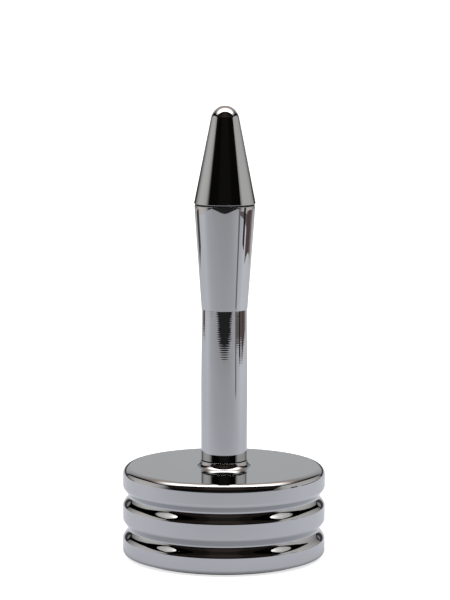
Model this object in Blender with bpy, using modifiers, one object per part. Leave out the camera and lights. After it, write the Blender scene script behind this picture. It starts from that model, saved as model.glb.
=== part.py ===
"""A free-standing razor stand: a weighted round base with three rings, a
plain stem, a sleeve that widens upwards, and a nose cone that the hollow
handle of a razor drops over.

Everything is stacked on one tie rod.  The rod screws into the cone, passes
through sleeve, stem, foot collar and base, and is drawn tight by a nut
inside the base.  A ballast ring fills the base, a steel cover with three
screws closes it, and a soft pad is what touches the shelf.

Blender 4.5.  Metres, +Z up, origin at the centre of the resting face.
"""

import math

import bmesh
import bpy
from mathutils import Matrix

MM = 0.001
GAP = 0.3  # clearance that neighbouring pieces keep, mm

# ---- driving dimensions, millimetres --------------------------------------
TOTAL_HEIGHT = 111.1

# base
BASE_RADIUS = 25.0
BASE_TOP = 22.3
BASE_RIM_BOTTOM = 0.6  # the pad holds the rim this far off the shelf
BASE_TOP_ROUND = 1.9  # radius of the top edge
BASE_BOTTOM_ROUND = (0.8, 0.9)  # width and height of the bottom edge, a quarter of an ellipse
GROOVE_HEIGHTS = (15.1, 6.9)  # centre heights of the two turned grooves
GROOVE_DEPTH = 1.46
GROOVE_HALF = 2.41  # half of the groove's height
HOLLOW_RADIUS = 19.0
HOLLOW_TOP = 18.3
RECESS_RADIUS = 23.1  # shallow recess that takes cover and pad
RECESS_TOP = 3.7

# foot collar
COLLAR_TOP = 23.65
COLLAR_TOP_RADIUS = 5.70
COLLAR_FLARE = (14.0, 48.0)  # slope of the flare from upright, top and foot, degrees
SPIGOT_RADIUS = 3.7
SPIGOT_LENGTH = 5.0

# stem
STEM_TOP = 61.2
STEM_RADIUS_TOP = 5.53
STEM_RADIUS = 5.68
STEM_BORE = SPIGOT_RADIUS + GAP

# sleeve
SLEEVE_BOTTOM = 61.5
SLEEVE_TOP = 86.85
SLEEVE_RADIUS_BOTTOM = 5.66
SLEEVE_LAND_RADIUS = 7.42
SLEEVE_LAND_BOTTOM = 86.35
SLEEVE_TAPER_RADIUS = 7.358
SLEEVE_TAPER_TOP = 85.4

# nose cone
CONE_BOTTOM = SLEEVE_TOP + GAP
CONE_RADIUS = 7.53
NOSE_RADIUS = 3.5
CONE_BORE_TOP = 97.6

# fastening
ROD_RADIUS = 2.5  # M5
ROD_BORE = ROD_RADIUS + GAP
ROD_BOTTOM = 9.2
ROD_TOP = 97.2
WASHER_RADIUS = 5.0
WASHER_THICK = 1.0
SPRING_RADIUS = 4.6
SPRING_THICK = 1.2
NUT_ACROSS_FLATS = 8.0
NUT_THICK = 4.0

# ballast, cover, pad
BALLAST_BORE = 8.3
COVER_THICK = 1.5
PAD_THICK = 1.6
PAD_RADIUS = RECESS_RADIUS - GAP
SCREW_RADIUS = 1.0
SCREW_HEAD_RADIUS = 2.0
SCREW_HEAD_HEIGHT = 1.1
SCREW_LENGTH = 7.6
SCREW_CIRCLE = 21.0

SEGMENTS = 48
SMALL_SEGMENTS = 24

# ---- scene ----------------------------------------------------------------
for old in list(bpy.data.objects):
    bpy.data.objects.remove(old, do_unlink=True)

parts = bpy.data.collections.new("razor_stand")
cutters = bpy.data.collections.new("razor_stand_cutters")
cutters.hide_render = True
bpy.context.scene.collection.children.link(parts)
bpy.context.scene.collection.children.link(cutters)


def material(name, colour, metallic, roughness):
    mat = bpy.data.materials.new(name)
    mat.use_nodes = True
    shader = mat.node_tree.nodes["Principled BSDF"]
    shader.inputs["Base Color"].default_value = (*colour, 1.0)
    shader.inputs["Metallic"].default_value = metallic
    shader.inputs["Roughness"].default_value = roughness
    return mat


def add(name, mesh, mat=None, cutter=False):
    obj = bpy.data.objects.new(name, mesh)
    (cutters if cutter else parts).objects.link(obj)
    if cutter:
        obj.hide_render = True
        obj.display_type = "WIRE"
    else:
        obj.data.materials.append(mat)
    return obj


def turned(name, profile, mat=None, closed=False, segments=SEGMENTS, cutter=False):
    """A turned piece.  The profile is (radius, height) in mm, running down its
    outer side from the top; closed profiles come back up their bore."""
    mesh = bpy.data.meshes.new(name)
    bm = bmesh.new()
    verts = [bm.verts.new((r * MM, 0.0, z * MM)) for r, z in profile]
    for a, b in zip(verts, verts[1:]):
        bm.edges.new((a, b))
    if closed:
        bm.edges.new((verts[-1], verts[0]))
    bm.to_mesh(mesh)
    bm.free()
    obj = add(name, mesh, mat, cutter)
    screw = obj.modifiers.new("turn", "SCREW")
    screw.axis = "Z"
    screw.angle = 2 * math.pi
    screw.steps = segments
    screw.render_steps = segments
    screw.use_smooth_shade = True
    screw.use_merge_vertices = True
    screw.merge_threshold = 0.00001
    return obj


def cut(obj, cutter):
    mod = obj.modifiers.new("cut_" + cutter.name, "BOOLEAN")
    mod.operation = "DIFFERENCE"
    mod.solver = "EXACT"
    mod.object = cutter


def fillet(cr, cz, radius, start, end, steps):
    """Points of an arc about (cr, cz), angles in degrees from +radius."""
    out = []
    for i in range(steps + 1):
        a = math.radians(start + (end - start) * i / steps)
        out.append((cr + radius * math.cos(a), cz + radius * math.sin(a)))
    return out


def groove(centre, steps=8):
    """The groove between two rings, from its top to its bottom.  Its flanks
    keep an even slope and ease in and out at the ends."""
    slopes = [abs(math.sin(math.pi * (1 - 2 * (i + 0.5) / steps))) ** 0.55 for i in range(steps)]
    step = 2 * GROOVE_DEPTH / sum(slopes)
    r, out = BASE_RADIUS, [(BASE_RADIUS, centre + GROOVE_HALF)]
    for i, slope in enumerate(slopes):
        r += (-1 if i < steps / 2 else 1) * slope * step
        out.append((r, centre + GROOVE_HALF * (1 - 2 * (i + 1) / steps)))
    out[-1] = (BASE_RADIUS, centre - GROOVE_HALF)
    return out


def ring_profile(inner, outer, bottom, top, chamfer):
    """A plain washer-like ring with small chamfers on its outer edges."""
    return [
        (outer - chamfer, top),
        (outer, top - chamfer),
        (outer, bottom + chamfer),
        (outer - chamfer, bottom),
        (inner, bottom),
        (inner, top),
    ]


chrome = material("polished_chrome", (0.55, 0.55, 0.56), 1.0, 0.04)
chrome_cone = material("polished_chrome_cone", (0.56, 0.56, 0.56), 1.0, 0.03)
chrome_sleeve = material("polished_chrome_sleeve", (0.55, 0.55, 0.56), 1.0, 0.05)
chrome_stem = material("polished_chrome_stem", (0.54, 0.54, 0.55), 1.0, 0.06)
chrome_collar = material("polished_chrome_collar", (0.55, 0.55, 0.55), 1.0, 0.05)
rod_steel = material("rod_steel", (0.45, 0.45, 0.46), 1.0, 0.35)
zinc_washer = material("zinc_plated_washer", (0.50, 0.51, 0.53), 1.0, 0.3)
spring_steel = material("blued_spring_steel", (0.16, 0.16, 0.18), 1.0, 0.4)
zinc_nut = material("zinc_plated_nut", (0.52, 0.53, 0.55), 1.0, 0.3)
grey_iron = material("ballast_iron", (0.10, 0.10, 0.10), 0.6, 0.75)
cover_steel = material("cover_steel", (0.42, 0.42, 0.43), 1.0, 0.45)
screw_steel = material("screw_steel", (0.5, 0.5, 0.5), 1.0, 0.3)
pad_foam = material("pad_foam", (0.02, 0.02, 0.022), 0.0, 0.9)

# ---- nose cone ------------------------------------------------------------
# The nose is a ball tangent to the cone; the tangent point follows from the
# cone's bottom radius and the ball's height.
ball_centre = TOTAL_HEIGHT - NOSE_RADIUS
drop = ball_centre - (CONE_BOTTOM + 0.25)
cone_half_angle = math.atan2(CONE_RADIUS, drop) - math.asin(
    NOSE_RADIUS / math.hypot(CONE_RADIUS, drop)
)
tangent = math.degrees(cone_half_angle)
nose = [(0.0, TOTAL_HEIGHT)]
nose += fillet(0.0, ball_centre, NOSE_RADIUS, 90.0, tangent, 9)[1:]
nose += [(CONE_RADIUS, CONE_BOTTOM + 0.25), (CONE_RADIUS - 0.2, CONE_BOTTOM)]
nose += [(ROD_BORE, CONE_BOTTOM), (ROD_BORE, CONE_BORE_TOP), (0.0, CONE_BORE_TOP + 1.6)]
turned("nose_cone", nose, chrome_cone)

# ---- taper sleeve ---------------------------------------------------------
sleeve = [
    (SLEEVE_LAND_RADIUS - 0.2, SLEEVE_TOP),
    (SLEEVE_LAND_RADIUS, SLEEVE_TOP - 0.2),
    (SLEEVE_LAND_RADIUS, SLEEVE_LAND_BOTTOM),
    (SLEEVE_TAPER_RADIUS, SLEEVE_TAPER_TOP),
    (SLEEVE_RADIUS_BOTTOM, SLEEVE_BOTTOM + 0.1),
    (SLEEVE_RADIUS_BOTTOM - 0.1, SLEEVE_BOTTOM),
    (SPIGOT_RADIUS, SLEEVE_BOTTOM),
    (SPIGOT_RADIUS, SLEEVE_BOTTOM - SPIGOT_LENGTH + 0.4),
    (SPIGOT_RADIUS - 0.4, SLEEVE_BOTTOM - SPIGOT_LENGTH),
    (ROD_BORE, SLEEVE_BOTTOM - SPIGOT_LENGTH),
    (ROD_BORE, SLEEVE_TOP),
]
turned("taper_sleeve", sleeve, chrome_sleeve, closed=True)

# ---- stem tube ------------------------------------------------------------
stem = [
    (STEM_RADIUS_TOP - 0.1, STEM_TOP),
    (STEM_RADIUS_TOP, STEM_TOP - 0.1),
    (STEM_RADIUS, STEM_TOP - 17.0),
    (STEM_RADIUS, COLLAR_TOP + GAP + 0.2),
    (STEM_RADIUS - 0.15, COLLAR_TOP + GAP),
    (STEM_BORE, COLLAR_TOP + GAP),
    (STEM_BORE, STEM_TOP),
]
turned("stem_tube", stem, chrome_stem, closed=True)

# ---- foot collar: a low flare that hides the joint, with a centring spigot --
collar = [
    (SPIGOT_RADIUS - 0.4, COLLAR_TOP + SPIGOT_LENGTH),
    (SPIGOT_RADIUS, COLLAR_TOP + SPIGOT_LENGTH - 0.4),
    (SPIGOT_RADIUS, COLLAR_TOP),
    (COLLAR_TOP_RADIUS - 0.1, COLLAR_TOP),
]
FLARE_STEPS = 5
flare_radius, flare_height = COLLAR_TOP_RADIUS, COLLAR_TOP - 0.06
collar.append((flare_radius, flare_height))
flare_drop = (flare_height - BASE_TOP - GAP) / FLARE_STEPS
for i in range(FLARE_STEPS):
    t = (i + 0.5) / FLARE_STEPS
    slope = math.radians(COLLAR_FLARE[0] + (COLLAR_FLARE[1] - COLLAR_FLARE[0]) * t)
    flare_radius += math.tan(slope) * flare_drop
    flare_height -= flare_drop
    collar.append((flare_radius, flare_height))
collar += [
    (ROD_BORE, BASE_TOP + GAP),
    (ROD_BORE, COLLAR_TOP + SPIGOT_LENGTH),
]
turned("foot_collar", collar, chrome_collar, closed=True)

# ---- base body ------------------------------------------------------------
body = fillet(
    BASE_RADIUS - BASE_TOP_ROUND, BASE_TOP - BASE_TOP_ROUND, BASE_TOP_ROUND, 90, 0, 5
)
for height in GROOVE_HEIGHTS:
    body += groove(height)
BOTTOM_STEPS = 4
for i in range(BOTTOM_STEPS + 1):
    a = math.radians(90 * i / BOTTOM_STEPS)
    body.append(
        (
            BASE_RADIUS - BASE_BOTTOM_ROUND[0] * (1 - math.cos(a)),
            BASE_RIM_BOTTOM + BASE_BOTTOM_ROUND[1] * (1 - math.sin(a)),
        )
    )
body += [
    (RECESS_RADIUS, BASE_RIM_BOTTOM),
    (RECESS_RADIUS, RECESS_TOP),
    (HOLLOW_RADIUS, RECESS_TOP),
    (HOLLOW_RADIUS, HOLLOW_TOP),
    (ROD_BORE, HOLLOW_TOP),
    (ROD_BORE, BASE_TOP),
]
base = turned("base_body", body, chrome, closed=True)

# ---- tie rod --------------------------------------------------------------
turned(
    "tie_rod",
    [
        (0.0, ROD_TOP),
        (ROD_RADIUS - 0.5, ROD_TOP),
        (ROD_RADIUS, ROD_TOP - 0.5),
        (ROD_RADIUS, ROD_BOTTOM + 0.5),
        (ROD_RADIUS - 0.5, ROD_BOTTOM),
        (0.0, ROD_BOTTOM),
    ],
    rod_steel,
    segments=SMALL_SEGMENTS,
)

# ---- washer, spring washer and nut, stacked down from the base's inside ---
top = HOLLOW_TOP - GAP
turned(
    "flat_washer",
    ring_profile(ROD_BORE, WASHER_RADIUS, top - WASHER_THICK, top, 0.12),
    zinc_washer,
    closed=True,
    segments=SMALL_SEGMENTS,
)
top -= WASHER_THICK + GAP
spring = turned(
    "spring_washer",
    ring_profile(ROD_BORE, SPRING_RADIUS, top - SPRING_THICK, top, 0.1),
    spring_steel,
    closed=True,
    segments=SMALL_SEGMENTS,
)
# the split runs across the ring at a slant
split_mesh = bpy.data.meshes.new("spring_split")
bm = bmesh.new()
bmesh.ops.create_cube(bm, size=1.0)
bmesh.ops.scale(bm, vec=(6 * MM, 0.6 * MM, 4 * MM), verts=bm.verts)
bmesh.ops.rotate(bm, matrix=Matrix.Rotation(math.radians(25), 3, "X"), verts=bm.verts)
bm.to_mesh(split_mesh)
bm.free()
split = add("spring_split", split_mesh, cutter=True)
split.location = (4.2 * MM, 0.0, (top - SPRING_THICK / 2) * MM)
cut(spring, split)

top -= SPRING_THICK + GAP
nut_mesh = bpy.data.meshes.new("clamp_nut")
bm = bmesh.new()
bmesh.ops.create_cone(
    bm,
    cap_ends=True,
    segments=6,
    radius1=NUT_ACROSS_FLATS / math.sqrt(3) * MM,
    radius2=NUT_ACROSS_FLATS / math.sqrt(3) * MM,
    depth=NUT_THICK * MM,
)
bmesh.ops.translate(bm, vec=(0, 0, (top - NUT_THICK / 2) * MM), verts=bm.verts)
bm.to_mesh(nut_mesh)
bm.free()
nut = add("clamp_nut", nut_mesh, zinc_nut)
nut_bore = turned(
    "nut_bore",
    [
        (0.0, top + 1),
        (ROD_BORE, top + 1),
        (ROD_BORE, top - NUT_THICK - 1),
        (0.0, top - NUT_THICK - 1),
    ],
    segments=SMALL_SEGMENTS,
    cutter=True,
)
cut(nut, nut_bore)
# both ends of the hexagon are turned back to 30 degrees at its corners
for side, face in ((1, top), (-1, top - NUT_THICK)):
    inner = NUT_ACROSS_FLATS / 2 - 0.1
    fall = (6.0 - inner) * math.tan(math.radians(30))
    far = face + side * 1.0
    edge = [(6.0, far), (6.0, face - side * fall), (inner, face), (inner, far)]
    if side < 0:
        edge.reverse()
    cut(
        nut,
        turned(
            "nut_chamfer_top" if side > 0 else "nut_chamfer_bottom",
            edge,
            closed=True,
            segments=SMALL_SEGMENTS,
            cutter=True,
        ),
    )

# ---- ballast ring ---------------------------------------------------------
turned(
    "ballast_ring",
    ring_profile(
        BALLAST_BORE, HOLLOW_RADIUS - GAP, RECESS_TOP, HOLLOW_TOP - GAP, 0.6
    ),
    grey_iron,
    closed=True,
)

# ---- cover plate with three countersunk screws ----------------------------
cover_top = RECESS_TOP - GAP
cover_bottom = cover_top - COVER_THICK
cover = turned(
    "base_cover",
    [
        (0.0, cover_top),
        (PAD_RADIUS - 0.2, cover_top),
        (PAD_RADIUS, cover_top - 0.2),
        (PAD_RADIUS, cover_bottom + 0.2),
        (PAD_RADIUS - 0.2, cover_bottom),
        (0.0, cover_bottom),
    ],
    cover_steel,
)


def screw_profile(grow):
    """Countersunk screw, head down, or its hole where grow is the clearance."""
    head_face = cover_bottom + 0.05 - (1.0 if grow else 0.0)
    head_top = cover_bottom + 0.05 + SCREW_HEAD_HEIGHT
    end = cover_bottom + SCREW_LENGTH + grow
    return [
        (0.0, end),
        (SCREW_RADIUS - (0.0 if grow else 0.25), end),
        (SCREW_RADIUS + grow, end - 0.4),
        (SCREW_RADIUS + grow, head_top),
        (SCREW_HEAD_RADIUS + grow, cover_bottom + 0.2),
        (SCREW_HEAD_RADIUS + grow, head_face),
        (0.0, head_face),
    ]


for n in range(3):
    angle = math.radians(90 + 120 * n)
    place = (SCREW_CIRCLE * math.cos(angle) * MM, SCREW_CIRCLE * math.sin(angle) * MM)
    hole = turned(
        f"screw_hole_{n + 1}", screw_profile(GAP), segments=16, cutter=True
    )
    hole.location = (*place, 0.0)
    cut(cover, hole)
    cut(base, hole)
    screw = turned(
        f"cover_screw_{n + 1}", screw_profile(0.0), screw_steel, segments=16
    )
    screw.location = (*place, 0.0)
    # cross recess: two crossed slots in the head
    for turn in (0, 1):
        slot_mesh = bpy.data.meshes.new(f"recess_{n + 1}_{turn + 1}")
        bm = bmesh.new()
        bmesh.ops.create_cube(bm, size=1.0)
        bmesh.ops.scale(bm, vec=(2.2 * MM, 0.45 * MM, 1.2 * MM), verts=bm.verts)
        if turn:
            bmesh.ops.rotate(
                bm, matrix=Matrix.Rotation(math.radians(90), 3, "Z"), verts=bm.verts
            )
        bm.to_mesh(slot_mesh)
        bm.free()
        slot = add(f"recess_{n + 1}_{turn + 1}", slot_mesh, cutter=True)
        slot.location = (*place, (cover_bottom + 0.05) * MM)
        cut(screw, slot)

# ---- foot pad -------------------------------------------------------------
turned(
    "foot_pad",
    [
        (0.0, PAD_THICK),
        (PAD_RADIUS, PAD_THICK),
        (PAD_RADIUS, 0.2),
        (PAD_RADIUS - 0.2, 0.0),
        (0.0, 0.0),
    ],
    pad_foam,
)

# ---- shading --------------------------------------------------------------
for obj in parts.objects:
    obj.data.shade_smooth()
    obj.data.set_sharp_from_angle(angle=math.radians(30))
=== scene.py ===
"""Looks for the weighted razor stand: chromed turned parts on a pale studio floor."""

import math

import bmesh
import bpy
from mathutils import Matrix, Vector


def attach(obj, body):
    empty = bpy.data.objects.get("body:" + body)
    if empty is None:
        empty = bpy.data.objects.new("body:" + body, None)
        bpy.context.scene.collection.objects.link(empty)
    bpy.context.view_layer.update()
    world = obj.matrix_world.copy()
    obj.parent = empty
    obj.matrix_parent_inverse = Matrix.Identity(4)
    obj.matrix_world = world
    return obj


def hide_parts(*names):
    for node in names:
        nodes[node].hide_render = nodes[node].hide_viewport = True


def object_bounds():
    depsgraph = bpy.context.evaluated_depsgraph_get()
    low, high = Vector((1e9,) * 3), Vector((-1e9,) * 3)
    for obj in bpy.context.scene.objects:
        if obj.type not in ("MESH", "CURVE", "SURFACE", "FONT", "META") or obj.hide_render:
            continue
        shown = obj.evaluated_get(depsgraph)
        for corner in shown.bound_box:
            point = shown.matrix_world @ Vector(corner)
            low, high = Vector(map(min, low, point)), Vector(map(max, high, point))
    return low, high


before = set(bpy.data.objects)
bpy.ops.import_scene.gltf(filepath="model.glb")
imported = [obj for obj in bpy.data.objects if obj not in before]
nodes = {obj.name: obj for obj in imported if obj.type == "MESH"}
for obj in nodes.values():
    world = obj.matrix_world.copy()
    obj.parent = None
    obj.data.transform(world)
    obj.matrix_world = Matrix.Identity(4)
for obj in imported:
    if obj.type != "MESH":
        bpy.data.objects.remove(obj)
cad_lo, cad_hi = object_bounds()

MM = 0.001
BODY = "root"
SEGMENTS = 320
scene = bpy.context.scene
scene.view_settings.view_transform = "Standard"
scene.view_settings.look = "None"
scene.view_settings.exposure = 0.0
scene.view_settings.gamma = 1.0


# ---------------------------------------------------------------- profiles


def arc(cr, cz, radius, start, end, steps):
    """Points of an arc in the (r, z) plane, angles in degrees from +r towards +z."""
    out = []
    for i in range(steps + 1):
        a = math.radians(start + (end - start) * i / steps)
        out.append((cr + radius * math.cos(a), cz + radius * math.sin(a)))
    return out


def ease(p, q, steps):
    """Points from p to q along z, with r easing in and out."""
    out = []
    for i in range(steps + 1):
        t = i / steps
        s = t * t * (3 - 2 * t)
        out.append((p[0] + (q[0] - p[0]) * s, p[1] + (q[1] - p[1]) * t))
    return out


def groove(radius, centre, depth, half, steps=48, full=0.55):
    """A turned groove from its upper edge down. Its flanks keep an even slope, and ease in and out at the ends."""
    slope = [abs(math.sin(math.pi * (1 - 2 * (i + 0.5) / steps))) ** full for i in range(steps)]
    step = 2 * depth / sum(slope)
    r, out = radius, [(radius, centre + half)]
    for i in range(steps):
        r += (-1 if i < steps / 2 else 1) * slope[i] * step
        out.append((r, centre + half * (1 - 2 * (i + 1) / steps)))
    out[-1] = (radius, centre - half)
    return out


def tighten(points, closed, near=0.015, over=0.25):
    """Extra points close to both ends of long runs, so that smooth shading stays on the corners."""
    out = []
    count = len(points)
    last = count if closed else count - 1
    for i in range(count):
        p = points[i]
        out.append(p)
        if i >= last:
            break
        q = points[(i + 1) % count]
        run = math.hypot(q[0] - p[0], q[1] - p[1])
        if run > over:
            for f in (near / run, 1 - near / run):
                out.append((p[0] + (q[0] - p[0]) * f, p[1] + (q[1] - p[1]) * f))
    return out


def tidy(points):
    out = []
    for p in points:
        if not out or math.hypot(p[0] - out[-1][0], p[1] - out[-1][1]) > 1e-4:
            out.append(p)
    return out


def turned(name, points, closed=True, segments=SEGMENTS):
    """A turned piece: the (r, z) profile in mm swept about Z, with one vertex where it meets the axis."""
    points = tighten(tidy(points), closed)
    bm = bmesh.new()
    rings = []
    for r, z in points:
        if r < 1e-5:
            rings.append([bm.verts.new((0, 0, z * MM))])
        else:
            rings.append(
                [
                    bm.verts.new(
                        (
                            r * MM * math.cos(2 * math.pi * k / segments),
                            r * MM * math.sin(2 * math.pi * k / segments),
                            z * MM,
                        )
                    )
                    for k in range(segments)
                ]
            )
    pairs = list(zip(rings, rings[1:]))
    if closed:
        pairs.append((rings[-1], rings[0]))
    for a, b in pairs:
        if len(a) == 1 and len(b) == 1:
            continue
        for k in range(segments):
            n = (k + 1) % segments
            if len(a) == 1:
                bm.faces.new((a[0], b[n], b[k]))
            elif len(b) == 1:
                bm.faces.new((a[k], a[n], b[0]))
            else:
                bm.faces.new((a[k], a[n], b[n], b[k]))
    bmesh.ops.recalc_face_normals(bm, faces=bm.faces[:])
    for f in bm.faces:
        f.smooth = True
    mesh = bpy.data.meshes.new(name)
    bm.to_mesh(mesh)
    bm.free()
    obj = bpy.data.objects.new(name, mesh)
    scene.collection.objects.link(obj)
    return obj


# ---------------------------------------------------------------- node helpers


def new_material(name):
    mat = bpy.data.materials.new(name)
    mat.use_nodes = True
    tree = mat.node_tree
    tree.nodes.clear()
    out = tree.nodes.new("ShaderNodeOutputMaterial")
    return mat, tree, out


def link(tree, a, b):
    tree.links.new(a, b)


def ramp(tree, stops, interpolation="LINEAR"):
    node = tree.nodes.new("ShaderNodeValToRGB")
    node.color_ramp.interpolation = interpolation
    elements = node.color_ramp.elements
    while len(elements) > 1:
        elements.remove(elements[-1])
    elements[0].position = stops[0][0]
    elements[0].color = (*stops[0][1], 1)
    for position, colour in stops[1:]:
        e = elements.new(position)
        e.color = (*colour, 1)
    return node


def grey(v):
    return (v, v, v)


def maths(tree, operation, a, b=None, clamp=False):
    node = tree.nodes.new("ShaderNodeMath")
    node.operation = operation
    node.use_clamp = clamp
    for socket, value in ((node.inputs[0], a), (node.inputs[1], b)):
        if value is None:
            continue
        if hasattr(value, "is_output"):
            link(tree, value, socket)
        else:
            socket.default_value = value
    return node.outputs[0]


def noise(tree, vector, scale, detail=4.0, rough=0.55):
    node = tree.nodes.new("ShaderNodeTexNoise")
    node.inputs["Scale"].default_value = scale
    node.inputs["Detail"].default_value = detail
    node.inputs["Roughness"].default_value = rough
    link(tree, vector, node.inputs["Vector"])
    return node


def scaled(tree, vector, scale):
    node = tree.nodes.new("ShaderNodeMapping")
    node.inputs["Scale"].default_value = scale
    link(tree, vector, node.inputs["Vector"])
    return node.outputs["Vector"]


def shader(tree, out):
    node = tree.nodes.new("ShaderNodeBsdfPrincipled")
    link(tree, node.outputs["BSDF"], out.inputs["Surface"])
    return node


# ---------------------------------------------------------------- object materials


def chrome(name, feed_pitch=0.0, feed_depth=0.0, tint=(0.548, 0.556, 0.568)):
    """Plated, polished metal: a mirror with a breath of haze, hairline scratches and, where turned, feed marks."""
    mat, tree, out = new_material(name)
    bsdf = shader(tree, out)
    bsdf.inputs["Metallic"].default_value = 1.0
    coords = tree.nodes.new("ShaderNodeTexCoord").outputs["Object"]

    cloud = noise(tree, coords, 38.0, 3.0)
    low = tuple(c * 0.975 for c in tint)
    high = tuple(min(1.0, c * 1.02) for c in tint)
    colour = ramp(tree, [(0.3, low), (0.7, high)])
    link(tree, cloud.outputs["Fac"], colour.inputs["Fac"])
    link(tree, colour.outputs["Color"], bsdf.inputs["Base Color"])

    # hairlines from wiping, fine and sparse, and a few faint smears
    hair = noise(tree, scaled(tree, coords, (900, 900, 5200)), 1.0, 2.0)
    hair_mask = ramp(tree, [(0.56, grey(0.0)), (0.66, grey(1.0))])
    link(tree, hair.outputs["Fac"], hair_mask.inputs["Fac"])
    smear = noise(tree, scaled(tree, coords, (120, 120, 60)), 1.0, 5.0, 0.6)
    smear_mask = ramp(tree, [(0.5, grey(0.0)), (0.8, grey(1.0))])
    link(tree, smear.outputs["Fac"], smear_mask.inputs["Fac"])
    rough = maths(tree, "MULTIPLY", hair_mask.outputs["Color"], 0.012)
    rough = maths(tree, "ADD", rough, maths(tree, "MULTIPLY", smear_mask.outputs["Color"], 0.03))
    rough = maths(tree, "ADD", rough, 0.022)
    link(tree, rough, bsdf.inputs["Roughness"])

    # very slight waviness left by polishing, in the height the bump reads in metres
    wave = noise(tree, scaled(tree, coords, (150, 150, 220)), 1.0, 2.0)
    height = maths(tree, "MULTIPLY", wave.outputs["Fac"], 1.6e-6)
    if feed_pitch:
        split = tree.nodes.new("ShaderNodeSeparateXYZ")
        link(tree, coords, split.inputs[0])
        wobble = noise(tree, scaled(tree, coords, (160, 160, 900)), 1.0, 2.0)
        phase = maths(tree, "MULTIPLY", split.outputs["Z"], 2 * math.pi / feed_pitch)
        phase = maths(tree, "ADD", phase, maths(tree, "MULTIPLY", wobble.outputs["Fac"], 4.0))
        feed = maths(tree, "MULTIPLY", maths(tree, "SINE", phase), feed_depth)
        # the marks come and go along the tube
        fade = noise(tree, scaled(tree, coords, (90, 90, 1300)), 1.0, 3.0)
        feed = maths(tree, "MULTIPLY", feed, maths(tree, "SUBTRACT", fade.outputs["Fac"], 0.18, clamp=True))
        height = maths(tree, "ADD", height, feed)
    bump = tree.nodes.new("ShaderNodeBump")
    bump.inputs["Strength"].default_value = 1.0
    bump.inputs["Distance"].default_value = 1.0
    link(tree, height, bump.inputs["Height"])
    link(tree, bump.outputs["Normal"], bsdf.inputs["Normal"])
    return mat


def steel(name, tint=(0.50, 0.49, 0.475), stretch=(60, 60, 2600), rough=0.28):
    """Plain machined steel with turning lines."""
    mat, tree, out = new_material(name)
    bsdf = shader(tree, out)
    bsdf.inputs["Metallic"].default_value = 1.0
    coords = tree.nodes.new("ShaderNodeTexCoord").outputs["Object"]
    grain = noise(tree, scaled(tree, coords, stretch), 1.0, 4.0)
    colour = ramp(tree, [(0.3, tuple(c * 0.86 for c in tint)), (0.7, tuple(min(1, c * 1.08) for c in tint))])
    link(tree, grain.outputs["Fac"], colour.inputs["Fac"])
    link(tree, colour.outputs["Color"], bsdf.inputs["Base Color"])
    value = maths(tree, "MULTIPLY", grain.outputs["Fac"], 0.16)
    link(tree, maths(tree, "ADD", value, rough - 0.08), bsdf.inputs["Roughness"])
    bump = tree.nodes.new("ShaderNodeBump")
    bump.inputs["Strength"].default_value = 0.6
    bump.inputs["Distance"].default_value = 1.0
    link(tree, maths(tree, "MULTIPLY", grain.outputs["Fac"], 6.0e-6), bump.inputs["Height"])
    link(tree, bump.outputs["Normal"], bsdf.inputs["Normal"])
    return mat


def cast_iron(name):
    mat, tree, out = new_material(name)
    bsdf = shader(tree, out)
    bsdf.inputs["Metallic"].default_value = 0.55
    coords = tree.nodes.new("ShaderNodeTexCoord").outputs["Object"]
    sand = noise(tree, coords, 1500.0, 6.0, 0.65)
    patch = noise(tree, coords, 120.0, 4.0)
    colour = ramp(tree, [(0.35, (0.030, 0.029, 0.028)), (0.6, (0.075, 0.070, 0.066)), (0.8, (0.12, 0.085, 0.06))])
    link(tree, patch.outputs["Fac"], colour.inputs["Fac"])
    link(tree, colour.outputs["Color"], bsdf.inputs["Base Color"])
    link(tree, maths(tree, "ADD", maths(tree, "MULTIPLY", sand.outputs["Fac"], 0.25), 0.5), bsdf.inputs["Roughness"])
    bump = tree.nodes.new("ShaderNodeBump")
    bump.inputs["Strength"].default_value = 0.8
    bump.inputs["Distance"].default_value = 1.0
    link(tree, maths(tree, "MULTIPLY", sand.outputs["Fac"], 9.0e-5), bump.inputs["Height"])
    link(tree, bump.outputs["Normal"], bsdf.inputs["Normal"])
    return mat


def foam(name):
    """Closed-cell foam rubber: dark, matt, with small cells."""
    mat, tree, out = new_material(name)
    bsdf = shader(tree, out)
    coords = tree.nodes.new("ShaderNodeTexCoord").outputs["Object"]
    cells = tree.nodes.new("ShaderNodeTexVoronoi")
    cells.inputs["Scale"].default_value = 2600.0
    link(tree, coords, cells.inputs["Vector"])
    colour = ramp(tree, [(0.0, (0.010, 0.010, 0.011)), (0.55, (0.028, 0.028, 0.030))])
    link(tree, cells.outputs["Distance"], colour.inputs["Fac"])
    link(tree, colour.outputs["Color"], bsdf.inputs["Base Color"])
    link(tree, maths(tree, "ADD", maths(tree, "MULTIPLY", cells.outputs["Distance"], 0.2), 0.7), bsdf.inputs["Roughness"])
    bump = tree.nodes.new("ShaderNodeBump")
    bump.inputs["Strength"].default_value = 0.7
    bump.inputs["Distance"].default_value = 1.0
    link(tree, maths(tree, "MULTIPLY", cells.outputs["Distance"], 1.2e-4), bump.inputs["Height"])
    link(tree, bump.outputs["Normal"], bsdf.inputs["Normal"])
    return mat


def painted_seam_shade(name):
    """End faces and bores, near-black: painted shade in the seams and gaps between the chrome parts, on metal that
    plating and polish don't reach.
    """
    mat, tree, out = new_material(name)
    bsdf = shader(tree, out)
    bsdf.inputs["Metallic"].default_value = 0.6
    coords = tree.nodes.new("ShaderNodeTexCoord").outputs["Object"]
    grain = noise(tree, coords, 2200.0, 4.0)
    colour = ramp(tree, [(0.3, grey(0.008)), (0.7, grey(0.022))])
    link(tree, grain.outputs["Fac"], colour.inputs["Fac"])
    link(tree, colour.outputs["Color"], bsdf.inputs["Base Color"])
    link(tree, maths(tree, "ADD", maths(tree, "MULTIPLY", grain.outputs["Fac"], 0.2), 0.55), bsdf.inputs["Roughness"])
    return mat


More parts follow.
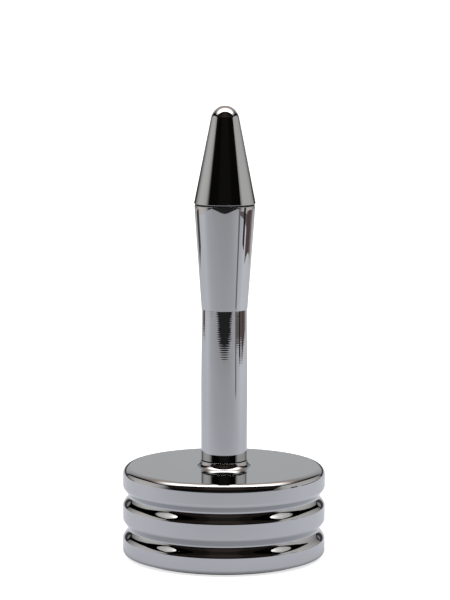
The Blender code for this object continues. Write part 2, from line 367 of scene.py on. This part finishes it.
def give_seam_shade(obj, mat, test):
    """Gives the second material to the faces whose middle (r, z in mm) and normal pass the test."""
    obj.data.materials.append(mat)
    index = len(obj.data.materials) - 1
    for polygon in obj.data.polygons:
        c = polygon.center
        if test(math.hypot(c.x, c.y) / MM, c.z / MM, polygon.normal):
            polygon.material_index = index


def paint(obj, mat):
    if not obj.material_slots:
        obj.data.materials.append(mat)
    for each in obj.material_slots:
        each.link = "DATA"
        each.material = mat


# ---------------------------------------------------------------- turned pieces

TOP = cad_hi[2] / MM
BASE_R = cad_hi[0] / MM


def nose_profile():
    ball, centre = 3.5, TOP - 3.5
    foot_r, foot_z, edge = 7.53, 87.38, 0.10
    half = math.atan2(foot_r, centre - foot_z) - math.asin(ball / math.hypot(foot_r, centre - foot_z))
    out = []
    steps = 40
    stop = math.degrees(half)
    for i in range(steps + 1):
        a = math.radians(90 + (stop - 90) * i / steps)
        # a touch fuller at the very tip than a ball, and leaner at the shoulder
        lean = 1 - 0.022 * math.sin(2 * a) ** 2 * math.cos(a)
        out.append((ball * math.cos(a) * lean, centre + ball * math.sin(a)))
    out += arc(foot_r - edge, foot_z - 0.02, edge, stop, -90, 10)
    low = foot_z - 0.02 - edge
    out += [(2.8, low), (2.8, 97.6), (0.0, 99.2)]
    return out


def sleeve_profile():
    # a low register under the cone, then the rim
    out = [(2.8, 87.24), (7.30, 87.24), (7.30, 86.85)]
    out += arc(7.42 - 0.10, 86.85 - 0.10, 0.10, 90, 0, 6)
    # the rim starts straight and soon leans into the long taper
    top, low, quick, slow = 86.74, 61.33, 0.35, 1.6
    full = (7.42 - 5.645) / (top - low - 0.6 * quick - 0.4 * slow)
    steps = 30
    for i in range(steps + 1):
        t = 8.0 * (i / steps) ** 2.0
        lag = 0.6 * quick * (1 - math.exp(-t / quick)) + 0.4 * slow * (1 - math.exp(-t / slow))
        out.append((7.42 - full * (t - lag), top - t))
    out.append((5.645, low))
    out += [(5.60, 61.30), (3.7, 61.30), (3.7, 56.5), (2.8, 56.5)]
    return out


def stem_profile():
    out = [(5.40, 61.29), (5.5373, 61.29)]
    top = [(5.54, 60.9), (5.57, 57.0), (5.63, 52.0), (5.69, 46.5), (5.705, 42.0), (5.69, 36.0), (5.675, 30.0), (5.67, 24.1)]
    out += spline(top, 70)
    out += arc(5.61, 24.01, 0.06, 0, -90, 4)
    out += [(4.0, 23.95), (4.0, 61.29)]
    return out


def spline(points, steps):
    """A smooth curve through the points (Catmull-Rom in z)."""
    out = []
    zs = [p[1] for p in points]
    for i in range(steps + 1):
        z = zs[0] + (zs[-1] - zs[0]) * i / steps
        k = 0
        while k < len(zs) - 2 and z < zs[k + 1]:
            k += 1
        p1, p2 = points[k], points[k + 1]
        p0 = points[k - 1] if k else (2 * p1[0] - p2[0], 2 * p1[1] - p2[1])
        p3 = points[k + 2] if k + 2 < len(points) else (2 * p2[0] - p1[0], 2 * p2[1] - p1[1])
        h = p2[1] - p1[1]
        t = (z - p1[1]) / h
        m1 = (p2[0] - p0[0]) / (p2[1] - p0[1]) * h
        m2 = (p3[0] - p1[0]) / (p3[1] - p1[1]) * h
        r = (2 * t**3 - 3 * t**2 + 1) * p1[0] + (t**3 - 2 * t**2 + t) * m1
        r += (-2 * t**3 + 3 * t**2) * p2[0] + (t**3 - t**2) * m2
        out.append((r, z))
    return out


def collar_profile():
    out = arc(5.70 - 0.06, 23.70 - 0.06, 0.06, 90, 0, 4)
    # the foot flares, a little hollow, down to the base
    steps, z, r = 24, 23.64, 5.70
    height = 23.64 - 22.302
    for i in range(steps):
        t = (i + 0.5) / steps
        r += math.tan(math.radians(14 + 34 * t)) * height / steps
        z -= height / steps
        out.append((r, z))
    out += [(2.8, 22.302), (2.8, 28.65), (3.7, 28.65), (3.7, 23.70)]
    return out


def base_profile():
    top = 22.3
    out = [(2.8, top)]
    rr, rz = 1.82, 2.05
    for i in range(29):
        a = math.radians(90 - 90 * i / 28)
        out.append((BASE_R - rr + rr * math.cos(a), top - rz + rz * math.sin(a)))
    out += groove(BASE_R, 15.10, 1.44, 2.42)
    out += groove(BASE_R, 6.89, 1.435, 2.41)
    for i in range(25):
        a = math.radians(90 * i / 24)
        out.append((BASE_R - 0.8 * (1 - math.cos(a)), 0.6 + 0.9 * (1 - math.sin(a))))
    out += [(23.1, 0.6), (23.1, 3.7), (19.0, 3.7), (19.0, 18.3), (2.8, 18.3)]
    return out


def drilled(obj, holes, radius, low, high):
    """Blind holes drilled up from below, cut from the mesh and applied."""
    bm = bmesh.new()
    for x, y in holes:
        made = bmesh.ops.create_cone(bm, cap_ends=True, segments=24, radius1=radius * MM, radius2=radius * MM, depth=(high - low) * MM)
        bmesh.ops.translate(bm, verts=made["verts"], vec=(x * MM, y * MM, (low + high) / 2 * MM))
    mesh = bpy.data.meshes.new("drill")
    bm.to_mesh(mesh)
    bm.free()
    cutter = bpy.data.objects.new("drill", mesh)
    scene.collection.objects.link(cutter)
    mod = obj.modifiers.new("drill", "BOOLEAN")
    mod.operation = "DIFFERENCE"
    mod.solver = "EXACT"
    mod.object = cutter
    bpy.context.view_layer.update()
    graph = bpy.context.evaluated_depsgraph_get()
    done = bpy.data.meshes.new_from_object(obj.evaluated_get(graph))
    obj.modifiers.clear()
    obj.data = done
    bpy.data.objects.remove(cutter)
    for polygon in done.polygons:
        polygon.use_smooth = True


cone_finish = chrome("chrome_cone")
sleeve_finish = chrome("chrome_sleeve")
stem_finish = chrome("chrome_stem", feed_pitch=0.00055, feed_depth=1.15e-6)
collar_finish = chrome("chrome_collar")
base_finish = chrome("chrome_base")

cone = turned("nose_cone_turned", nose_profile(), closed=False)
sleeve = turned("taper_sleeve_turned", sleeve_profile())
stem = turned("stem_tube_turned", stem_profile())
collar = turned("foot_collar_turned", collar_profile())
base = turned("base_body_turned", base_profile())

drilled(base, [(21 * math.cos(math.radians(a)), 21 * math.sin(math.radians(a))) for a in (90, 210, 330)], 1.3, 3.0, 9.0)

for piece, node, mat in (
    (cone, "nose_cone", cone_finish),
    (sleeve, "taper_sleeve", sleeve_finish),
    (stem, "stem_tube", stem_finish),
    (collar, "foot_collar", collar_finish),
    (base, "base_body", base_finish),
):
    paint(piece, mat)
    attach(piece, BODY)
    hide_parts(node)

# near-black faces in the seams, gaps and bores: painted shade where little light gets in between the parts
dark = painted_seam_shade("seam_shade_material")
give_seam_shade(cone, dark, lambda r, z, n: n.z < -0.9 or (r < 3.0 and z < 99.3))
give_seam_shade(sleeve, dark, lambda r, z, n: (abs(n.z) > 0.99 and r < 7.27) or (z > 86.86 and r < 7.31) or r < 3.8)
give_seam_shade(stem, dark, lambda r, z, n: (abs(n.z) > 0.99 and r < 5.42) or r < 4.1)
give_seam_shade(collar, dark, lambda r, z, n: (abs(n.z) > 0.99 and r < 5.62) or r < 3.8)
give_seam_shade(base, dark, lambda r, z, n: n.z < -0.9 and r < 23.2 or (r < 19.2 and z < 18.4) or (r < 23.2 and z < 3.8 and abs(n.z) < 0.5) or r < 2.9)

rod_steel = steel("steel_rod")
washer_steel = steel("steel_washer", tint=(0.55, 0.55, 0.54))
spring_steel = steel("steel_spring", tint=(0.30, 0.30, 0.31), rough=0.36)
nut_steel = steel("steel_nut", tint=(0.52, 0.50, 0.46), stretch=(700, 700, 700))
cover_steel = steel("steel_cover", tint=(0.46, 0.46, 0.46), stretch=(1800, 60, 60), rough=0.34)
screw_steel = steel("steel_screw", tint=(0.42, 0.42, 0.43), stretch=(900, 900, 900))
paint(nodes["tie_rod"], rod_steel)
paint(nodes["flat_washer"], washer_steel)
paint(nodes["spring_washer"], spring_steel)
paint(nodes["clamp_nut"], nut_steel)
paint(nodes["ballast_ring"], cast_iron("cast_iron_ballast"))
paint(nodes["base_cover"], cover_steel)
for n in ("cover_screw_1", "cover_screw_2", "cover_screw_3"):
    paint(nodes[n], screw_steel)
paint(nodes["foot_pad"], foam("foam_foot_pad"))


# ---------------------------------------------------------------- studio


def sheet(name, points, faces, build, camera=False, glossy=True, diffuse=False):
    """One sheet of the studio, in mm. build(tree, axes, coords, target) links the light that it gives off into target.
    """
    mesh = bpy.data.meshes.new(name)
    mesh.from_pydata([tuple(c * MM for c in p) for p in points], [], faces)
    mesh.update()
    obj = bpy.data.objects.new(name, mesh)
    scene.collection.objects.link(obj)
    mat, tree, out = new_material(name)
    glow = tree.nodes.new("ShaderNodeEmission")
    glow.inputs["Strength"].default_value = 1.0
    coords = tree.nodes.new("ShaderNodeTexCoord")
    split = tree.nodes.new("ShaderNodeSeparateXYZ")
    link(tree, coords.outputs["Object"], split.inputs[0])
    build(tree, split.outputs, coords.outputs["Object"], glow.inputs["Color"])
    link(tree, glow.outputs[0], out.inputs["Surface"])
    mesh.materials.append(mat)
    obj.visible_camera = camera
    obj.visible_glossy = glossy
    obj.visible_diffuse = diffuse
    obj.visible_transmission = glossy
    obj.visible_volume_scatter = False
    obj.visible_shadow = False
    return obj


def along(tree, socket, low, high):
    """Where the socket's value lies between low and high mm, as 0 to 1."""
    node = tree.nodes.new("ShaderNodeMapRange")
    node.inputs["From Min"].default_value = low * MM
    node.inputs["From Max"].default_value = high * MM
    link(tree, socket, node.inputs["Value"])
    return node.outputs["Result"]


def by(tree, socket, low, high, stops, interpolation="LINEAR"):
    """A colour ramp over mm: stops are (mm, (r, g, b))."""
    node = ramp(tree, [((p - low) / (high - low), c) for p, c in stops], interpolation)
    link(tree, along(tree, socket, low, high), node.inputs["Fac"])
    return node.outputs["Color"]


def times(tree, a, b):
    node = tree.nodes.new("ShaderNodeMix")
    node.data_type = "RGBA"
    node.blend_type = "MULTIPLY"
    node.inputs["Factor"].default_value = 1.0
    link(tree, a, node.inputs[6])
    link(tree, b, node.inputs[7])
    return node.outputs[2]


def radius_of(tree, axes):
    x2 = maths(tree, "MULTIPLY", axes["X"], axes["X"])
    y2 = maths(tree, "MULTIPLY", axes["Y"], axes["Y"])
    return maths(tree, "SQRT", maths(tree, "ADD", x2, y2))


def tone(v, cool=0.0):
    return (v * (1 - cool), v, v * (1 + 2 * cool))


FRONT, BACK = -410.0, 614.0


def floor_light(tree, axes, coords, target):
    depth = by(
        tree, axes["Y"], -420, 620,
        [
            (-420, (0.511, 0.506, 0.528)), (-340, (0.534, 0.528, 0.557)), (-250, (0.58, 0.585, 0.619)),
            (-150, (0.636, 0.636, 0.682)), (-100, (0.688, 0.693, 0.739)), (-60, (0.739, 0.744, 0.795)),
            (0, (0.83, 0.841, 0.898)), (150, (0.795, 0.807, 0.852)), (300, (0.739, 0.739, 0.761)), (460, (0.682, 0.67, 0.67)), (620, (0.636, 0.614, 0.591)),
        ],
    )
    # painted contact shadow: the floor's light is darkened in a ring close round the foot of the base
    painted_contact_shadow = by(
        tree, radius_of(tree, axes), 20, 60,
        [(20, grey(0.30)), (24.5, grey(0.42)), (26.5, grey(0.72)), (30, grey(0.92)), (38, grey(0.985)), (50, grey(1.0))],
    )
    # a little more light lies on the right of the floor
    across = by(tree, axes["X"], -600, 600, [(-600, grey(0.94)), (-300, grey(0.905)), (0, grey(0.88)), (150, grey(0.89)), (255, grey(0.99)), (420, grey(1.0)), (600, grey(0.98))])
    link(tree, times(tree, times(tree, depth, painted_contact_shadow), across), target)


sheet(
    "studio_floor_light",
    [(-1200, FRONT, 0.0), (1200, FRONT, 0.0), (1200, BACK, 0.0), (-1200, BACK, 0.0)],
    [(0, 1, 2, 3)],
    floor_light,
)


def sweep_light(tree, axes, coords, target):
    # the back of the tent is even; overhead it brightens under the lamp
    up = by(
        tree, axes["Y"], -140, 630,
        [
            (-140, (3.4, 3.3, 3.2)), (80, (3.2, 3.1, 3.0)), (115, (1.9, 1.75, 1.62)), (165, (1.25, 1.1, 0.98)),
            (205, (0.80, 0.68, 0.60)), (255, (0.58, 0.48, 0.41)), (322, (0.47, 0.41, 0.37)), (390, (0.465, 0.43, 0.41)),
            (480, (0.49, 0.49, 0.49)), (630, (0.50, 0.51, 0.52)),
        ],
    )
    side = by(
        tree, maths(tree, "ABSOLUTE", axes["X"]), 0, 640,
        [(0, grey(1.0)), (200, grey(0.98)), (315, grey(0.86)), (400, grey(0.58)), (450, grey(0.32)), (520, grey(0.22)), (640, grey(0.18))],
    )
    # low down, the far end of the room shows as a dark band
    low = by(
        tree, axes["Z"], 0, 200,
        [(0, grey(1.0)), (24, grey(1.0)), (34, grey(0.12)), (104, grey(0.12)), (120, grey(0.85)), (130, grey(1.0))],
    )
    link(tree, times(tree, times(tree, up, side), low), target)


def sweep_sheet():
    path = [(614, 0.0), (618, 30), (618, 70), (612, 130), (600, 180), (575, 220), (540, 268), (490, 318), (425, 374), (342, 425), (246, 463), (137, 488), (0, 498), (-112, 500)]
    widths = [462, 462, 456, 440, 425, 420, 418, 420, 440, 480, 530, 570, 590, 590]
    points, faces = [], []
    for (y, z), w in zip(path, widths):
        points += [(-w - 8, y, z), (w + 12, y, z)]
    for i in range(len(path) - 1):
        faces.append((2 * i, 2 * i + 1, 2 * i + 3, 2 * i + 2))
    sheet("studio_sweep_light", points, faces, sweep_light)


sweep_sheet()


def wall_light(side):
    def build(tree, axes, coords, target):
        if side < 0:
            stops = [(-260, grey(0.02)), (-212, grey(0.14)), (-171, grey(0.36)), (-130, grey(0.52)), (-82, grey(0.62)), (0, grey(0.685)), (165, grey(0.70)), (288, grey(0.60)), (410, grey(0.44)), (520, grey(0.30)), (600, grey(0.2))]
        else:
            stops = [(-330, grey(0.02)), (-274, grey(0.10)), (-226, grey(0.30)), (-178, grey(0.54)), (-110, grey(0.66)), (0, grey(0.645)), (165, grey(0.64)), (300, grey(0.56)), (410, grey(0.46)), (520, grey(0.34)), (600, grey(0.2))]
        depth = by(tree, axes["Y"], -340, 610, stops)
        lift = by(
            tree, axes["Z"], 0, 540,
            [(0, (1.05, 0.99, 0.95)), (82, (1.04, 0.995, 0.95)), (150, (0.99, 0.97, 0.94)), (300, (0.95, 0.905, 0.87)), (540, (1.0, 0.95, 0.91))],
        )
        link(tree, times(tree, depth, lift), target)

    return build


for side, x0 in ((-1, -482.0), (1, 462.0)):
    lean = 30.0 * side
    sheet(
        "studio_wall_left_light" if side < 0 else "studio_wall_right_light",
        [(x0, -335, 1.0), (x0, 600, 1.0), (x0 + lean * 0.4, 600, 190), (x0 + lean * 0.6, 385, 260), (x0 + lean * 0.7, 200, 315), (x0 + lean * 0.7, -130, 335), (x0 + lean * 0.4, -260, 205)],
        [(0, 1, 2, 3, 4, 5, 6)],
        wall_light(side),
    )


def upright(name, path, low, high, colour, other=None):
    """A low dark edge of the tent, standing on the floor along a path of (x, y)."""
    points, faces = [], []
    for x, y in path:
        points += [(x, y, low), (x, y, high)]
    for i in range(len(path) - 1):
        faces.append((2 * i, 2 * i + 2, 2 * i + 3, 2 * i + 1))

    def build(tree, axes, coords, target):
        link(tree, by(tree, axes["Y"], -400, 400, [(-400, colour), (20, colour), (60, other or colour), (400, other or colour)]), target)

    sheet(name, points, faces, build)


def round_path(radius, first, last, steps=6):
    """Points on a circle about the axis, angles in degrees from the near side towards +x."""
    out = []
    for i in range(steps + 1):
        a = math.radians(first + (last - first) * i / steps)
        out.append((radius * math.sin(a), -radius * math.cos(a)))
    return out


# corner posts at the back, and the darker foot of the right-hand side
upright("studio_post_left", round_path(430, -138, -118), 0.5, 30, (0.10, 0.085, 0.08))
upright("studio_post_right", [(304, 306), (316, 294)], 0.5, 40, (0.10, 0.085, 0.08))
upright("studio_foot_right", round_path(424, 60, 96), 0.5, 12, (0.17, 0.15, 0.15))
upright("studio_strip_right", [(r * math.sin(math.radians(a)), -r * math.cos(math.radians(a))) for r, a in ((348, 95), (378, 104), (404, 112), (425, 122))], 0.5, 30, (0.135, 0.084, 0.082))
upright("studio_line_right", round_path(432, 123.5, 129.5, 2), 0.5, 30, (0.05, 0.042, 0.04))
upright("studio_rod_near", round_path(240, 55, 61.5, 2), 0.5, 62, (0.20, 0.19, 0.19))
upright("studio_rod_far", round_path(361, 78, 88, 2), 0.5, 60, (0.03, 0.03, 0.03))


def front_light(tree, axes, coords, target):
    """The dim room in front of the tent."""
    up = by(
        tree, axes["Z"], 0, 2300,
        [
            (0, (0.024, 0.024, 0.026)), (150, (0.021, 0.021, 0.021)), (230, (0.0085, 0.008, 0.007)), (560, (0.009, 0.008, 0.0075)), (600, (0.02, 0.017, 0.015)),
            (690, (0.02, 0.015, 0.012)), (730, (0.06, 0.045, 0.037)), (860, (0.06, 0.045, 0.037)), (910, (0.026, 0.021, 0.018)), (1030, (0.024, 0.02, 0.018)),
            (1110, (0.05, 0.036, 0.03)), (1470, (0.055, 0.04, 0.034)), (1600, (0.022, 0.019, 0.017)), (2300, (0.022, 0.02, 0.018)),
        ],
    )
    side = by(tree, maths(tree, "ABSOLUTE", axes["X"]), 0, 2500, [(0, grey(1.0)), (350, grey(0.95)), (520, grey(0.5)), (2500, grey(0.4))])
    link(tree, times(tree, up, side), target)


sheet("studio_front_room", [(-2500, -900, 0), (2500, -900, 0), (2500, -900, 2300), (-2500, -900, 2300)], [(0, 1, 2, 3)], front_light)
sheet(
    "studio_front_floor",
    [(-1200, -900, 0), (1200, -900, 0), (1200, FRONT - 0.5, 0), (-1200, FRONT - 0.5, 0)],
    [(0, 1, 2, 3)],
    lambda tree, axes, coords, target: link(tree, by(tree, axes["Y"], -900, -400, [(-900, (0.022, 0.022, 0.023)), (-400, (0.025, 0.025, 0.027))]), target),
)


def visible_floor():
    mesh = bpy.data.meshes.new("studio_floor")
    size = 30000.0
    mesh.from_pydata([(-size * MM, -size * MM, 0), (size * MM, -size * MM, 0), (size * MM, size * MM, 0), (-size * MM, size * MM, 0)], [], [(0, 1, 2, 3)])
    obj = bpy.data.objects.new("studio_floor", mesh)
    scene.collection.objects.link(obj)
    mat, tree, out = new_material("studio_floor")
    bsdf = shader(tree, out)
    coords = tree.nodes.new("ShaderNodeTexCoord").outputs["Object"]
    fibre = noise(tree, coords, 900.0, 3.0)
    colour = ramp(tree, [(0.3, (0.80, 0.80, 0.805)), (0.7, (0.83, 0.83, 0.835))])
    link(tree, fibre.outputs["Fac"], colour.inputs["Fac"])
    link(tree, colour.outputs["Color"], bsdf.inputs["Base Color"])
    bsdf.inputs["Roughness"].default_value = 1.0
    bsdf.inputs["Specular IOR Level"].default_value = 0.0
    bsdf.inputs["Emission Color"].default_value = (1, 1, 1, 1)
    bsdf.inputs["Emission Strength"].default_value = 0.66
    mesh.materials.append(mat)
    obj.visible_glossy = False


visible_floor()


def backdrop():
    """A pale wall all round, far off, so that any view has the same plain background."""
    points, faces = [], []
    count = 48
    for k in range(count):
        a = 2 * math.pi * k / count
        points += [(3000 * math.cos(a), 3000 * math.sin(a), -200), (3000 * math.cos(a), 3000 * math.sin(a), 3600)]
    for k in range(count):
        n = (k + 1) % count
        faces.append((2 * k, 2 * n, 2 * n + 1, 2 * k + 1))
    faces.append(tuple(2 * k + 1 for k in range(count)))

    def build(tree, axes, coords, target):
        link(tree, by(tree, axes["Z"], -200, 3600, [(-200, grey(1.04)), (3600, grey(1.02))]), target)

    sheet("studio_backdrop", points, faces, build, camera=True, glossy=False)


backdrop()

world = bpy.data.worlds.new("studio_world")
world.use_nodes = True
background = world.node_tree.nodes["Background"]
background.inputs["Color"].default_value = (0, 0, 0, 1)
background.inputs["Strength"].default_value = 0.0
scene.world = world


def sky(name, direction, power, spread):
    """Even, very soft daylight from one side, for what is matt."""
    data = bpy.data.lights.new(name, "SUN")
    data.energy = power
    data.angle = math.radians(spread)
    data.color = (1.0, 0.998, 0.994)
    obj = bpy.data.objects.new(name, data)
    obj.rotation_euler = (-Vector(direction)).to_track_quat("-Z", "Y").to_euler()
    obj.location = Vector(direction) * 2
    obj.visible_glossy = False
    scene.collection.objects.link(obj)
    return obj


sky("sky_over", (0.0, 0.15, 1.0), 1.9, 110)
sky("sky_left", (-1.0, 0.1, 0.7), 0.9, 80)
sky("sky_right", (1.0, 0.1, 0.7), 0.9, 80)

# ---------------------------------------------------------------- camera

data = bpy.data.cameras.new("camera")
data.sensor_width = 36.0
data.lens = 147.95
data.clip_start = 0.01
data.clip_end = 100.0
camera = bpy.data.objects.new("camera", data)
pitch, roll = 0.12572, 0.00315
camera.location = (0.000112, -0.600, 0.13934)
camera.rotation_mode = "XYZ"
from mathutils import Matrix

camera.matrix_world = (
    Matrix.Translation(camera.location)
    @ Matrix.Rotation(math.pi / 2 - pitch, 4, "X")
    @ Matrix.Rotation(roll, 4, "Z")
)
scene.collection.objects.link(camera)
scene.camera = camera
